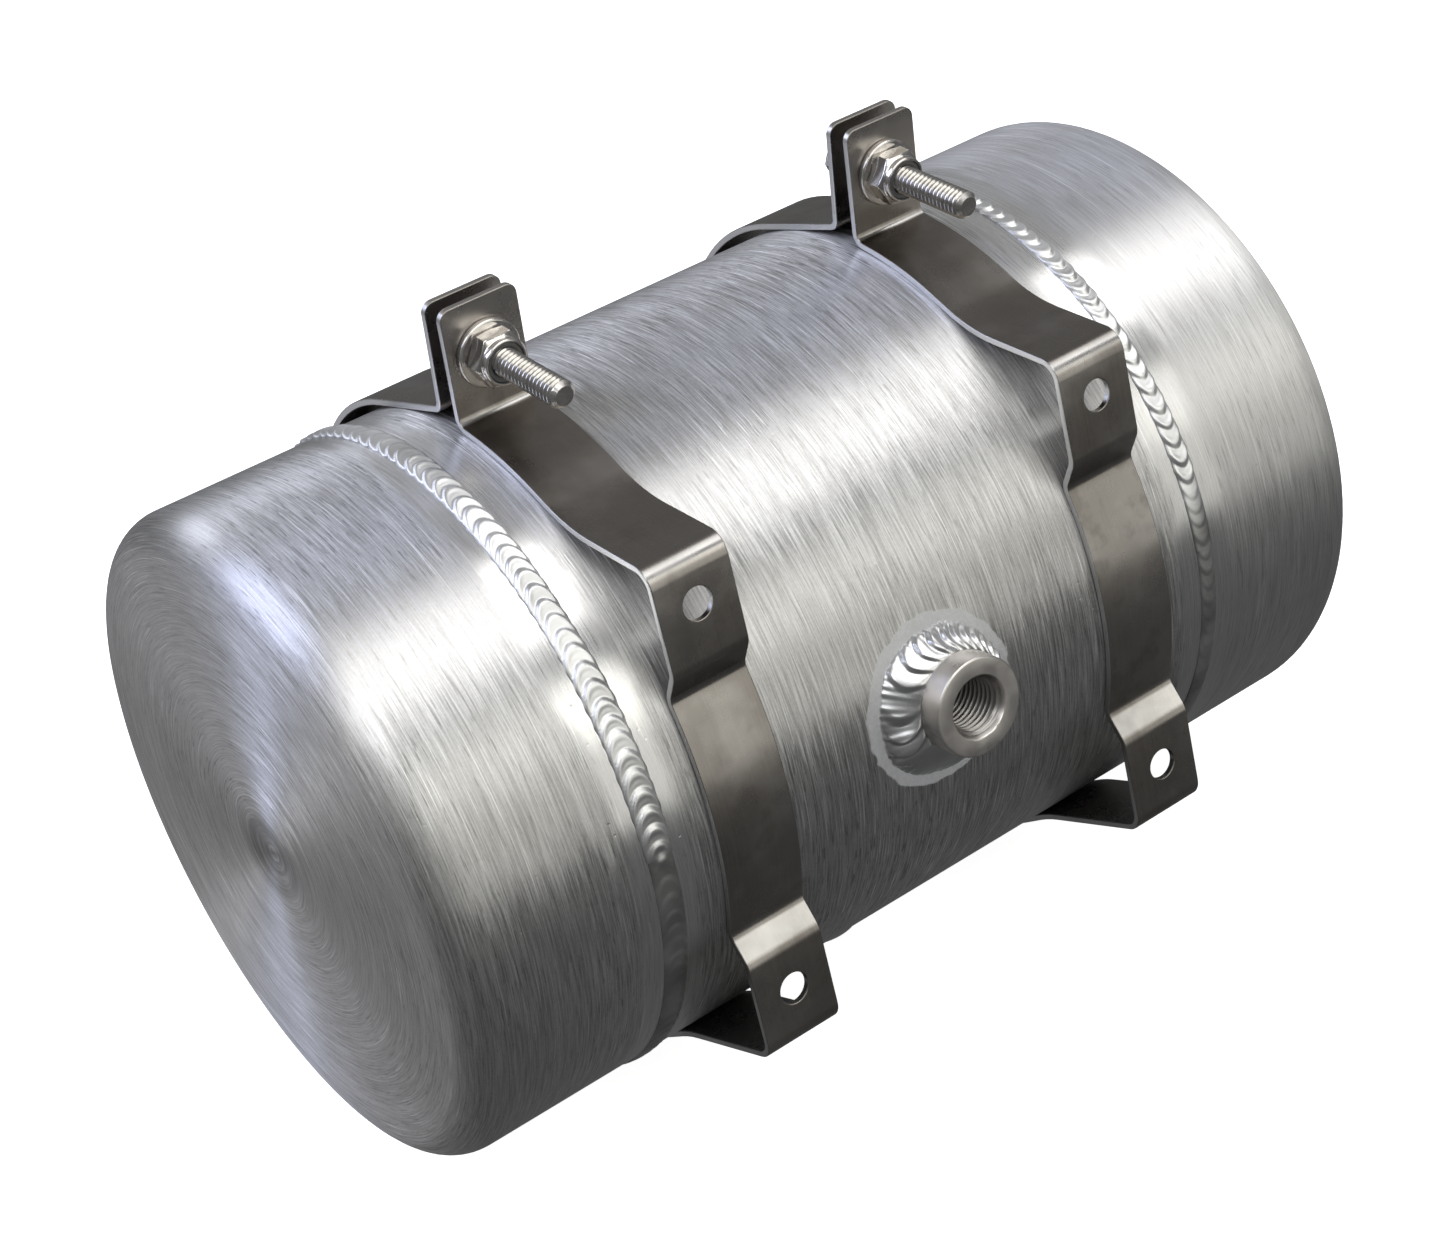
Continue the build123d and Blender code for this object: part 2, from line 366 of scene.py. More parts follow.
def spun_aluminium(name, side, streak_length, strength):
    """Sanded aluminium of the tank. side is -1 or 1 for a cup, so that the lines turn into rings
    on its flat end, and 0 for the barrel. streak_length is the usual length of a sanding line, and
    strength, from 0 to 1, is how much the lines show."""
    g = Graph(name)
    radius, across, up = g.round_tank()
    path = g.math("SUBTRACT", g.scaled(g.x, side), radius) if side else g.x

    def lines(width, length, detail, shift):
        """Long thin noise along the sanding lines, spread out to run from 0 to 1. Each layer has
        its own shift, so that no two layers repeat each other."""
        vector = g.vector(
            g.math("ADD", g.scaled(path, 1 / width), shift),
            g.scaled(across, 1 / length),
            g.scaled(up, 1 / length),
        )
        return g.remap(g.noise(vector, 1.0, detail, 0.6), 0.32, 0.68, 0.0, 1.0)

    fine = lines(0.30 * MM, streak_length * 0.8, 2.0, 0.0)
    middle = lines(0.80 * MM, streak_length * 1.5, 4.0, 7.3)
    broad = lines(4.5 * MM, streak_length * 2.6, 1.0, 15.1)
    marks = lines(0.42 * MM, streak_length * 0.40, 1.0, 31.7)
    glints = lines(0.42 * MM, streak_length * (1.8 if side else 0.9), 1.0, 63.1)
    clouds = g.noise(g.place, 16.0, 4.0, 0.6)
    patches = g.noise(g.place, 34.0, 2.0, 0.5)
    grain = g.noise(g.place, 1700.0, 2.0, 0.7)
    dark_marks = g.math(
        "MULTIPLY", g.remap(marks, 0.80, 1.0, 0.0, 1.0), g.remap(clouds, 0.38, 0.6, 0.2, 1.0)
    )
    light_marks = g.math(
        "MULTIPLY", g.remap(glints, 0.82, 1.0, 0.0, 1.0), g.remap(patches, 0.42, 0.62, 0.15, 1.0)
    )

    # Full of lines where the metal is sanded, and calm beside the welds.
    worked = clear_of_seams(g)
    border = None if side else port_border(g, across, up)
    if border is not None:
        worked = g.math("MULTIPLY", worked, g.math("SUBTRACT", 1.0, border))
    level = 0.275
    for layer, share in ((fine, 0.74), (middle, 0.16), (broad, 0.10), (grain, 0.44), (clouds, 0.24)):
        level = g.math("ADD", g.swing(layer, share), level)
    for layer, share in ((dark_marks, -0.60), (light_marks, 0.65)):
        level = g.math("ADD", g.scaled(layer, share), level)
    calm = g.math("ADD", 0.63, g.swing(clouds, 0.25))
    level = g.mixed_value(g.remap(worked, 0.0, 1.0, 0.3, 0.78 * strength), calm, level)
    tone = g.mixed(level, grey(0.36, 0.015), grey(0.99, 0.005))
    rough = g.remap(clouds, 0.3, 0.7, 0.42, 0.50)
    rough = g.math("ADD", rough, g.swing(fine, 0.10))
    rough = g.math("SUBTRACT", rough, g.remap(worked, 0.0, 1.0, 0.14, 0.0))
    metal = 1.0
    if border is not None:
        frost = g.remap(g.noise(g.place, 1100.0, 3.0, 0.7), 0.3, 0.7, 0.0, 1.0)
        tone = g.mixed(border, tone, g.mixed(frost, grey(0.64, -0.005), grey(0.74, -0.01)))
        rough = g.mixed_value(border, rough, 0.56)
        metal = g.remap(border, 0.0, 1.0, 1.0, 0.87)

    relief = g.math("ADD", g.scaled(fine, 0.6), middle)
    relief = g.math("SUBTRACT", relief, g.scaled(dark_marks, 0.5))
    relief = g.math("MULTIPLY", relief, g.remap(worked, 0.0, 1.0, 0.25, 1.0))
    normal = g.bump(relief, 0.02 * MM, 0.5)
    specks = g.node("ShaderNodeTexVoronoi", {"Vector": g.place, "Scale": 330.0}, feature="F1")
    pits = g.math(
        "MULTIPLY",
        g.remap(specks.outputs["Distance"], 0.05, 0.13, 1.0, 0.0),
        g.remap(patches, 0.5, 0.62, 0.0, 1.0),
    )
    normal = g.bump(g.scaled(pits, -1.0), 0.10 * MM, 0.3, normal)
    dents = g.noise(g.place, 11.0, 2.0)
    if side:
        # The spinning lathe leaves a shallow polished dimple in the middle of the end, and darker rings are
        # painted over it as painted shade.
        flat = g.remap(radius, 6 * MM, 15 * MM, 0.0, 1.0, smooth=True)
        dimple = g.math("SUBTRACT", 1.0, flat)
        dents = g.math("ADD", dents, g.scaled(flat, 1.1))
        rough = g.math("SUBTRACT", rough, g.scaled(dimple, 0.12))
        rings = g.vector(g.scaled(radius, 900.0), g.scaled(across, 60.0), g.scaled(up, 60.0))
        swirl_shade = g.remap(g.noise(rings, 1.0, 2.0), 0.45, 0.65, 0.9, 0.35)
        tone = g.mixed(g.math("MULTIPLY", dimple, swirl_shade), tone, grey(0.24))
    normal = g.bump(dents, 0.9 * MM, 0.5, normal)
    # Each sanding line is a little wavy along its own length, which frays the edges of reflections.
    sway = g.math("ADD", g.swing(fine, 0.065), g.swing(middle, 0.022))
    sway = g.math("MULTIPLY", sway, g.remap(worked, 0.0, 1.0, 0.2, strength))
    normal = tilted_round(g, normal, sway, radius, across, up)
    tangent = g.node("ShaderNodeTangent", direction_type="RADIAL", axis="X").outputs[0]
    return g.finish(
        Base_Color=tone, Metallic=metal, Roughness=rough, Anisotropic=0.85, Anisotropic_Rotation=0.25,
        Tangent=tangent, Normal=normal,
    )


def weld_metal(name, dark, light, low, high, darker_low_front=False):
    """As-welded metal: cloudy, a little dull, with a faint frosting. It lies between two greys and
    two roughnesses. It can also be darker in a stretch low on the front, which starts a little
    higher at the right seam than at the left one."""
    g = Graph(name)
    frost = g.noise(g.place, 420.0, 3.0, 0.6)
    clouds = g.noise(g.place, 90.0, 3.0)
    tone = g.mixed(g.remap(clouds, 0.35, 0.65, 0.0, 1.0), grey(dark), grey(light, -0.005))
    if darker_low_front:
        _, across, up = g.round_tank()
        above_start = g.math("SUBTRACT", up, g.remap(g.x, -10 * MM, 10 * MM, 0.0, 6 * MM))
        low_front_darkening = g.math(
            "MULTIPLY",
            g.remap(above_start, 8 * MM, -2 * MM, 0.0, 1.0),
            g.remap(across, -10 * MM, -30 * MM, 0.0, 1.0),
        )
        low_front_darkening = g.math("MULTIPLY", low_front_darkening, g.remap(clouds, 0.3, 0.7, 0.85, 0.55))
        tone = g.mixed(low_front_darkening, tone, grey(0.20, 0.01))
    rough = g.remap(clouds, 0.3, 0.7, low, high)
    return g.finish(
        Base_Color=tone, Metallic=1.0, Roughness=rough, Normal=g.bump(frost, 0.03 * MM, 0.35)
    )


def turned_metal():
    """Bung faces with fine tool rings round each port's axis."""
    g = Graph("turned_metal")
    radius, across, up = g.round_tank()
    is_front = g.remap(across, port_start, port_full, 0.0, 1.0)
    reach = g.mixed_value(is_front, g.distance(g.x, across), g.distance(g.x, up))
    rings = g.noise(g.vector(g.scaled(reach, 5200.0), g.scaled(radius, 3800.0), 0.0), 1.0, 2.0)
    blotch = g.noise(g.place, 220.0, 3.0)
    tone = g.mixed(blotch, grey(0.50, 0.055), grey(0.68, 0.045))
    # The thread is painted darker than the faces, as painted shade inside the bore.
    tone = g.mixed(g.remap(reach, 6.7 * MM, 7.1 * MM, 0.75, 0.0), tone, grey(0.24, 0.04))
    rough = g.remap(blotch, 0.3, 0.7, 0.26, 0.40)
    return g.finish(
        Base_Color=tone, Metallic=1.0, Roughness=rough, Normal=g.bump(rings, 0.02 * MM, 0.5)
    )


def strip_steel():
    """Dull rolled strip: lines along the strip, smudges, and cut edges facing along X with painted light on the
    upper half and painted shade on the lower half.
    """
    g = Graph("strip_steel")
    _, across, up = g.round_tank()
    lines = g.vector(g.scaled(g.x, 2600.0), g.scaled(across, 42.0), g.scaled(up, 42.0))
    grain = g.noise(lines, 1.0, 3.0, 0.6)
    smudge = g.noise(g.place, 75.0, 4.0, 0.62)
    soft = g.noise(g.place, 26.0, 2.0)
    haze = g.noise(g.place, 52.0, 3.0, 0.6)
    facing = g.node("ShaderNodeTexCoord").outputs["Normal"]
    facing_x, facing_y, facing_z = g.node("ShaderNodeSeparateXYZ", {0: facing}).outputs
    tone = g.mixed(g.remap(soft, 0.35, 0.65, 0.0, 1.0), grey(0.19, 0.09), grey(0.29, 0.07))
    tone = g.mixed(g.remap(smudge, 0.54, 0.64, 0.0, 0.5), tone, grey(0.12, 0.13))
    tone = g.mixed(g.remap(grain, 0.3, 0.7, 0.0, 0.2), tone, grey(0.36, 0.06))
    tone = g.mixed(g.remap(haze, 0.52, 0.66, 0.0, 0.35), tone, grey(0.42, 0.05))
    # The shelves that face up are painted by height: the lower ones lighter, as painted light, and the upper ones
    # darker, as painted shade. The ears are painted lighter, as painted light.
    shelf = g.remap(facing_z, 0.45, 0.8, 0.0, 1.0)
    low_shelf_light = g.math("MULTIPLY", shelf, g.remap(up, -26 * MM, -34 * MM, 0.0, 0.8))
    high_shelf_shade = g.math("MULTIPLY", shelf, g.remap(up, 30 * MM, 40 * MM, 0.0, 0.55))
    tone = g.mixed(low_shelf_light, tone, grey(0.35))
    tone = g.mixed(high_shelf_shade, tone, grey(0.10, 0.12))
    tone = g.mixed(g.remap(up, 82 * MM, 88 * MM, 0.0, 0.6), tone, grey(0.46, 0.05))
    # The outer bends are painted lighter, as a painted highlight, and the cut edges are painted lighter on the
    # upper half and darker on the lower half, as painted light and shade.
    bend_highlight = g.remap(g.math("ABSOLUTE", g.math("SUBTRACT", facing_z, 0.62)), 0.05, 0.28, 0.42, 0.0)
    bend_highlight = g.math("MULTIPLY", bend_highlight, g.remap(facing_y, -0.5, -0.3, 1.0, 0.0))
    tone = g.mixed(bend_highlight, tone, grey(0.66))
    cut = g.remap(g.math("ABSOLUTE", facing_x), 0.55, 0.85, 0.0, 1.0)
    edge = g.mixed(g.remap(up, -35 * MM, 0.0, 0.0, 1.0), grey(0.20, 0.03), grey(0.74, -0.005))
    tone = g.mixed(cut, tone, edge)
    rough = g.math("ADD", g.remap(smudge, 0.3, 0.7, 0.22, 0.36), g.scaled(cut, 0.06))
    normal = g.bump(grain, 0.012 * MM, 0.5)
    normal = g.bump(soft, 0.5 * MM, 0.25, normal)
    return g.finish(
        Base_Color=tone, Metallic=1.0, Roughness=rough, Anisotropic=0.3, Normal=normal
    )


def fastener_steel(name, level, warmth, low, high):
    """Bright stainless of one grey, blotched a little, between two roughnesses."""
    g = Graph(name)
    blotch = g.noise(g.place, 320.0, 3.0, 0.6)
    scratch = g.noise(g.place, 1500.0, 2.0, 0.7)
    dull, bright = grey(level * 0.74, warmth), grey(level, warmth)
    tone = g.mixed(g.remap(blotch, 0.35, 0.65, 0.0, 1.0), dull, bright)
    rough = g.remap(scratch, 0.3, 0.7, low, high)
    return g.finish(
        Base_Color=tone, Metallic=1.0, Roughness=rough, Normal=g.bump(blotch, 0.012 * MM, 0.3)
    )


def dark_nylon():
    g = Graph("dark_nylon")
    grain = g.noise(g.place, 700.0, 3.0)
    tone = g.mixed(grain, grey(0.035, 0.02), grey(0.075, 0.01))
    rough = g.remap(grain, 0.3, 0.7, 0.38, 0.55)
    return g.finish(Base_Color=tone, Roughness=rough, Normal=g.bump(grain, 0.03 * MM, 0.4))


barrel_skin = spun_aluminium("barrel_skin", 0, 15 * MM, 1.0)
cup_skins = {
    "left": spun_aluminium("left_cup_skin", -1, 14 * MM, 0.85),
    "right": spun_aluminium("right_cup_skin", 1, 18 * MM, 0.5),
}
girth_weld_skin = weld_metal("girth_weld_metal", 0.60, 0.76, 0.38, 0.46, darker_low_front=True)
port_weld_skin = weld_metal("port_weld_metal", 0.50, 0.64, 0.26, 0.34)
bung_skin = turned_metal()
strip_skin = strip_steel()
bolt_skin = fastener_steel("bolt_steel", 0.56, 0.04, 0.16, 0.26)
nut_skin = fastener_steel("nut_steel", 0.68, 0.035, 0.09, 0.15)
washer_skin = fastener_steel("washer_steel", 0.66, 0.04, 0.14, 0.24)
nylon_skin = dark_nylon()


def repaint(node, material):
    """Give a CAD node that is shown as it is its material."""
    piece = frame["nodes"][node]
    piece.data.materials.clear()
    piece.data.materials.append(material)


repaint("barrel", barrel_skin)
for side in ("left", "right"):
    repaint(f"{side}_end_cup", cup_skins[side])


# ---------------------------------------------------------------- weld beads

class Ripples:
    """Overlapping weld puddles along a closed run, each with its own length and height. face is
    the share of a puddle's length that its short round face takes up, and fine is the height of
    the small waves on it."""

    def __init__(self, run, lengths, seed, face, fine):
        chance = random.Random(seed)
        self.face, self.fine = face, fine
        count = len(lengths)
        lengths = np.array([length * chance.uniform(0.82, 1.18) for length in lengths])
        self.edges = np.concatenate([[0], np.cumsum(lengths)]) / lengths.sum() * run
        self.heights = np.array([1 + chance.uniform(-0.3, 0.25) for _ in range(count)])
        self.count, self.run = count, run

    def at(self, distance):
        """Height from 0 to about 1 at distances along the run. Each puddle rises gently and ends
        in a short round face, which lies at its far end."""
        wrapped = np.mod(distance, self.run)
        place = np.interp(wrapped, self.edges, np.arange(self.count + 1))
        index = np.minimum(place.astype(int), self.count - 1)
        share = place - index
        rise = np.clip(share / (1 - self.face), 0, 1) ** 0.9
        fall = np.clip((1 - share) / self.face, 0, 1)
        fall = fall * fall * (3 - 2 * fall)
        fine = self.fine * np.cos(4 * math.pi * share) * np.sin(math.pi * share) ** 2
        return (rise * fall + fine) * self.heights[index]


def angle_from(angles, middle):
    """Signed angle from the middle, the short way round."""
    return (angles - middle + math.pi) % (2 * math.pi) - math.pi


def bell(value, width):
    """1 at nothing, falling smoothly to 0 well outside the width."""
    return np.exp(-((value / width) ** 2))


def tank_ring(x, radius, angles):
    """Points round the tank's axis, from the front over the top."""
    return np.stack([x, radius * -np.cos(angles), radius * np.sin(angles)], axis=1)


def girth_bead(side, sign, climb, pitch, seed, strong, restart=None):
    """Rippled bead in the groove of one girth seam. Angles go round from the front over the top.
    climb is 1 where the ripples' rounded ends point up the front of the tank and -1 where they
    point down, strong gives the angles in degrees between which they stand proud, and restart is
    the angle of a crater where the welder began again."""
    low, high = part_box(f"{side}_girth_weld")
    width = high.x - low.x
    crown = (high.z - low.z) / 2 - tank_radius
    root = tank_radius - 1.8 * MM
    sunk = 0.05 * MM
    columns, rows = 2600, 19
    angles = np.arange(columns) / columns * 2 * math.pi
    run = 2 * math.pi * tank_radius
    ripples = Ripples(run, [1.0] * round(run / pitch), seed, 0.36, 0.09)
    chance = random.Random(seed + 1)
    waves = [(chance.randint(2, 19), chance.uniform(0, 6.28), chance.uniform(0.2, 1.0)) for _ in range(7)]
    sway = sum(size * np.sin(order * angles + start) for order, start, size in waves) / len(waves)
    first, last = (math.radians(value) for value in strong)
    middle, reach = (first + last) / 2, (last - first) / 2
    past = np.abs(angle_from(angles, middle)) - reach
    force = 0.20 + 0.80 * np.clip(1 - past / math.radians(6), 0, 1)
    # The welder slowed down low on the front, where the bead is widest.
    broad = 0.10 * bell(angles - middle + math.radians(85), math.radians(28))
    lead = 0.62 * width
    rings = []
    for row in range(rows):
        share = -1 + 2 * row / (rows - 1)
        wave = ripples.at(climb * angles * tank_radius - lead * (1 - abs(share) ** 2.3))
        half = width / 2 * (0.95 + broad + 0.06 * sway + 0.07 * wave * force)
        arch = max(1 - share**2, 0.0) ** 0.72
        ridge = max(1 - share**6, 0.0)
        height = crown * (0.44 * arch + ridge * (0.04 + 0.46 * wave * force))
        if restart is not None:
            along = angle_from(angles, math.radians(restart)) * tank_radius
            spot = np.hypot(along, share * half)
            mound = 0.30 * MM * np.exp(-((spot / (2.6 * MM)) ** 4))
            crater = 0.45 * MM * bell(spot, 1.2 * MM)
            height = height + arch * (mound - crater)
        height = np.minimum(height, crown)
        if abs(share) == 1:
            height = height - sunk
        x = sign * seam_x + share * half + 0.12 * MM * sway
        rings.append(tank_ring(x, tank_radius + height, angles))
    rings.append(tank_ring(np.full(columns, sign * seam_x), root, angles))
    mesh = placed(merged([ring_grid(rings, wrap_rows=True)]), Matrix.Translation(tank_axis))
    add_piece(
        f"{side}_rippled_girth_bead", mesh, "tank", girth_weld_skin,
        replaces=[f"{side}_girth_weld"], sharp=180,
    )


girth_bead("left", -1, 1, 3.75 * MM, 5, (5, 190), restart=1)
girth_bead("right", 1, -1, 3.9 * MM, 11, (16, 190))


def port_frame(port):
    """Matrix from a port's own frame, Z out along its axis from the tank's axis, to the CAD frame."""
    axis = Vector(mounts[f"{port}_port"]["axis"])
    side = Vector((1, 0, 0))
    turn = Matrix((side, axis.cross(side), axis)).transposed().to_4x4()
    return Matrix.Translation(tank_axis) @ turn


def port_bead(port, seed):
    """Rippled fillet between the bung and the curved wall. Angles go round from the right side
    over the top."""
    _, top, toe_radius = spread(f"{port}_port_weld", tank_axis, mounts[f"{port}_port"]["axis"])
    inner_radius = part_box(f"{port}_port_bung")[1].x - 0.15 * MM
    puddle_radius = 14.5 * MM
    columns, rows = 900, 24
    angles = np.arange(columns) / columns * 2 * math.pi
    # Puddle lengths in degrees. The last few are long and smooth.
    lengths = [14, 12, 11, 12, 11, 13, 12, 14, 16, 18, 16, 30, 16, 14, 14, 10, 50, 47, 40]
    ripples = Ripples(2 * math.pi * puddle_radius, lengths, seed, 0.34, 0.0)
    # The bead sits a little off the port's axis, to the left and down.
    toe = toe_radius - 1.1 * MM + 1.8 * MM * np.cos(angles - math.radians(213))
    toe = toe + 0.25 * MM * np.sin(5 * angles + 2.0) + 0.12 * MM * np.sin(11 * angles)
    toe = toe + 0.05 * MM * (np.sin(31 * angles + 1.0) + np.sin(47 * angles) + np.sin(67 * angles + 4.0))
    # The ripples stand proud from the right side over the top to the lower left.
    past = np.abs(angle_from(angles, math.radians(100))) - math.radians(122)
    force = 0.08 + 0.92 * np.clip(-past / math.radians(12), 0, 1)
    # A smooth patch to the upper left marks a restart, and the ripples below it are the deepest.
    force = force * (1 - 0.8 * bell(angles - math.radians(157), math.radians(13)))
    force = force * (1 + 0.8 * bell(angles - math.radians(196), math.radians(16)))

    def wall_height(reach):
        return np.sqrt(tank_radius**2 - (reach * np.sin(angles)) ** 2)

    def ring(reach, height):
        return np.stack([reach * np.cos(angles), reach * np.sin(angles), height], axis=1)

    rings = []
    for row in range(rows):
        share = row / (rows - 1)
        reach = inner_radius + (toe - inner_radius) * share
        straight = top + (wall_height(toe) - 0.05 * MM - top) * share
        belly = 4 * share * (1 - share)
        wave = ripples.at(angles * puddle_radius - 2.9 * MM * belly) * force
        lift = belly**0.7 * (0.35 * MM + 0.75 * MM * wave)
        height = straight + lift * 0.75
        if row < rows - 1:
            height = np.maximum(height, wall_height(reach) + 0.02 * MM)
            reach = reach + lift * 0.6
        rings.append(ring(reach, height))
    for reach, drop in ((toe - 0.3 * MM, 1.6 * MM), (np.full(columns, inner_radius), 2.2 * MM)):
        rings.append(ring(reach, wall_height(reach) - drop))
    mesh = placed(merged([ring_grid(rings, wrap_rows=True)]), port_frame(port))
    add_piece(
        f"{port}_rippled_port_bead", mesh, "tank", port_weld_skin,
        replaces=[f"{port}_port_weld"], sharp=180,
    )


port_bead("front", 3)
port_bead("bottom", 8)


# ---------------------------------------------------------------- threaded bungs

def threaded_bung(port):
    """Turned bung with a chamfered foot, a rounded rim and a countersunk pipe thread."""
    mount = mounts[f"{port}_port"]
    inner, outer, reach = spread(f"{port}_port_bung", tank_axis, mount["axis"])
    pitch_radius = mount["dims"]["r_mm"] * MM
    pitch = 25.4 * MM / 18
    depth = 0.95 * MM
    crest = pitch_radius - depth / 2
    back = crest + 0.6 * MM
    mouth = pitch_radius + 0.91 * MM
    chamfer, rim, step_down = 0.3 * MM, 0.5 * MM, 0.04 * MM
    columns = 72

    def bore(phase, height):
        thread = crest + thread_depth(phase, depth)
        countersink = mouth - (outer - height) * 0.6
        back_chamfer = back - (height - inner)
        return max(thread, countersink, back_chamfer)

    profile = [(inner, back), (inner, reach - chamfer), (inner + chamfer, reach), (outer - rim, reach)]
    for step in range(1, 5):
        turn = step / 4 * math.pi / 2
        profile.append((outer - rim + rim * math.sin(turn), reach - rim + rim * math.cos(turn)))
    profile += [(outer, mouth + 0.25 * MM), (outer - step_down, mouth)]
    # The wall ends a hair under the face, where the profile's last ring is.
    wall = thread_wall(inner, outer - step_down, pitch, columns, 10, bore)
    mesh = merged([turned(profile, columns), wall])
    bmesh.ops.remove_doubles(mesh, verts=mesh.verts, dist=0.05 * MM)
    placed(mesh, port_frame(port))
    add_piece(
        f"{port}_threaded_bung", mesh, "tank", bung_skin,
        replaces=[f"{port}_port_bung"], sharp=38,
    )


threaded_bung("front")
threaded_bung("bottom")


# ---------------------------------------------------------------- straps and fasteners

bolt_radius = 3.175 * MM
bolt_pitch = 1.27 * MM
bolt_flats = 11.1 * MM

for side in ("left", "right"):
    softened_copy(
        f"{side}_clamp_strap", f"{side}_softened_strap", 0.22 * MM, 2,
        "clamps", strip_skin,
    )


def bolt_frame(side):
    """Matrix with local Z along the bolt, towards the front, and its origin between the ears."""
    joint = joints[f"{side}_nut_turn"]
    axis = Vector(joint["axis"]).normalized()
    across = Vector((1, 0, 0))
    turn = Matrix((across, axis.cross(across), axis)).transposed().to_4x4()
    return Matrix.Translation(Vector(joint["pos_m"])) @ turn


def seat(side, node):
    """Where a node begins and ends along the bolt, and how far it reaches from it."""
    joint = joints[f"{side}_nut_turn"]
    return spread(f"{side}_{node}", Vector(joint["pos_m"]), Vector(joint["axis"]).normalized())


def hexagon_rows(start, end, flats, chamfer_low, chamfer_high, columns):
    """Hexagon whose corners are turned off to a cone at each end by the given circle radius."""
    shape = hexagon_radius(flats, columns)
    corner = flats / math.sqrt(3)
    slope = math.tan(math.radians(30))
    rows = []
    levels = 6
    for circle, base, direction in ((chamfer_low, start, 1), (chamfer_high, end, -1)):
        part = []
        drop = (corner - circle) * slope
        for step in range(levels + 1):
            cone = circle + (corner - circle) * step / levels
            part.append((base + direction * drop * step / levels, np.minimum(shape, cone)))
        rows.append(part)
    return rows[0] + rows[1][::-1]


def clamp_bolt(side):
    """Hexagon head bolt, threaded to just under its head, with a coned point."""
    low, high, _ = seat(side, "clamp_bolt")
    under_head = low + 4.2 * MM
    thread_end = under_head + 1.2 * MM
    depth = 0.74 * MM
    tip = 1.05 * MM
    top_circle, bearing_circle = 4.9 * MM, 5.3 * MM
    columns = 60

    def wall_radius(phase, height):
        reach = bolt_radius
        if height >= thread_end:
            reach -= thread_depth(phase, depth)
        cone = bolt_radius - tip + (high - height)
        return min(reach, cone)

    shank = thread_wall(under_head, high, bolt_pitch, columns, 12, wall_radius)
    point = disc(high, bolt_radius - tip, columns)
    head = hexagon_rows(low, under_head - 0.2 * MM, bolt_flats, top_circle, 5.45 * MM, columns)
    head += [(under_head, bearing_circle), (under_head, 4.4 * MM), (under_head, bolt_radius)]
    top = disc(low, top_circle, columns)
    mesh = placed(merged([shank, point, turned(head, columns), top]), bolt_frame(side))
    add_piece(
        f"{side}_threaded_bolt", mesh, "clamps", bolt_skin,
        replaces=[f"{side}_clamp_bolt"], sharp=32,
    )


def lock_nut(side):
    """Chamfered hexagon nut with a rolled collar, and the dished insert that the collar holds."""
    low, high, _ = seat(side, "lock_nut")
    insert_low, insert_high, insert_reach = seat(side, "nylon_insert")
    collar = 5.1 * MM
    bore = bolt_radius + 0.055 * MM
    lead_in = 0.35 * MM
    roll = 0.45 * MM
    pocket = insert_reach + 0.02 * MM
    columns = 72
    rows = [(low, bore + lead_in), (low, 5.0 * MM)]
    rows += hexagon_rows(low + 0.12 * MM, insert_low, bolt_flats, 5.25 * MM, 5.35 * MM, columns)
    rows += [(insert_low + 0.05 * MM, collar + 0.12 * MM), (insert_low + 0.2 * MM, collar)]
    for step in range(6):
        turn = step / 5 * math.pi * 0.62
        rows.append((high - roll + roll * math.sin(turn), collar - roll + roll * math.cos(turn)))
    rows += [(high - 0.35 * MM, pocket), (insert_low, pocket)]
    rows += [(insert_low, bore), (low + lead_in, bore)]
    mesh = placed(merged([turned(rows, columns, closed=True)]), bolt_frame(side))
    add_piece(
        f"{side}_chamfered_lock_nut", mesh, f"{side}_nut", nut_skin,
        replaces=[f"{side}_lock_nut"], sharp=28,
    )
    rows = [(insert_low, bore), (insert_low, insert_reach), (insert_high - 0.55 * MM, insert_reach)]
    rows += [(insert_high - 0.35 * MM, insert_reach - 0.25 * MM)]
    rows += [(insert_high - 0.4 * MM, bore + 0.3 * MM), (insert_high - 0.6 * MM, bore)]
    mesh = placed(merged([turned(rows, columns, closed=True)]), bolt_frame(side))
    add_piece(
        f"{side}_dished_insert", mesh, f"{side}_nut", nylon_skin,
        replaces=[f"{side}_nylon_insert"], sharp=50,
    )


def round_washer(side, end, body):
    """Stamped washer with one rounded edge, turned about its own axis."""
    node = f"{side}_{end}_washer"
    points = np.array([vertex.co for vertex in frame["nodes"][node].data.vertices])
    centre = points.mean(axis=0)
    # The washer's own axis is the direction in which its points spread least.
    axis = Vector(np.linalg.svd(points - centre, full_matrices=False)[2][2])
    if axis.y > 0:
        axis = -axis
    low, high, reach = spread(node, centre, axis)
    hole = 3.55 * MM
    soft = 0.5 * MM
    burr = 0.12 * MM
    rows = [(low, hole + burr), (low, reach - soft)]
    for step in range(1, 6):
        turn = step / 5 * math.pi / 2
        rows.append((low + soft * (1 - math.cos(turn)), reach - soft + soft * math.sin(turn)))
    for step in range(6):
        turn = step / 5 * math.pi / 2
        rows.append((high - soft * (1 - math.sin(turn)), reach - soft + soft * math.cos(turn)))
    rows += [(high, hole + burr), (high - burr, hole), (low + burr, hole)]
    across = Vector((1, 0, 0))
    turn = Matrix((across, axis.cross(across), axis)).transposed().to_4x4()
    mesh = merged([turned(rows, 72, closed=True)])
    placed(mesh, Matrix.Translation(Vector(centre)) @ turn)
    add_piece(
        f"{side}_{end}_stamped_washer", mesh, body, washer_skin,
        replaces=[node], sharp=40,
    )


for side in ("left", "right"):
    clamp_bolt(side)
    lock_nut(side)
    round_washer(side, "front", f"{side}_washer")
    round_washer(side, "rear", "clamps")


# ---------------------------------------------------------------- stage, light and camera

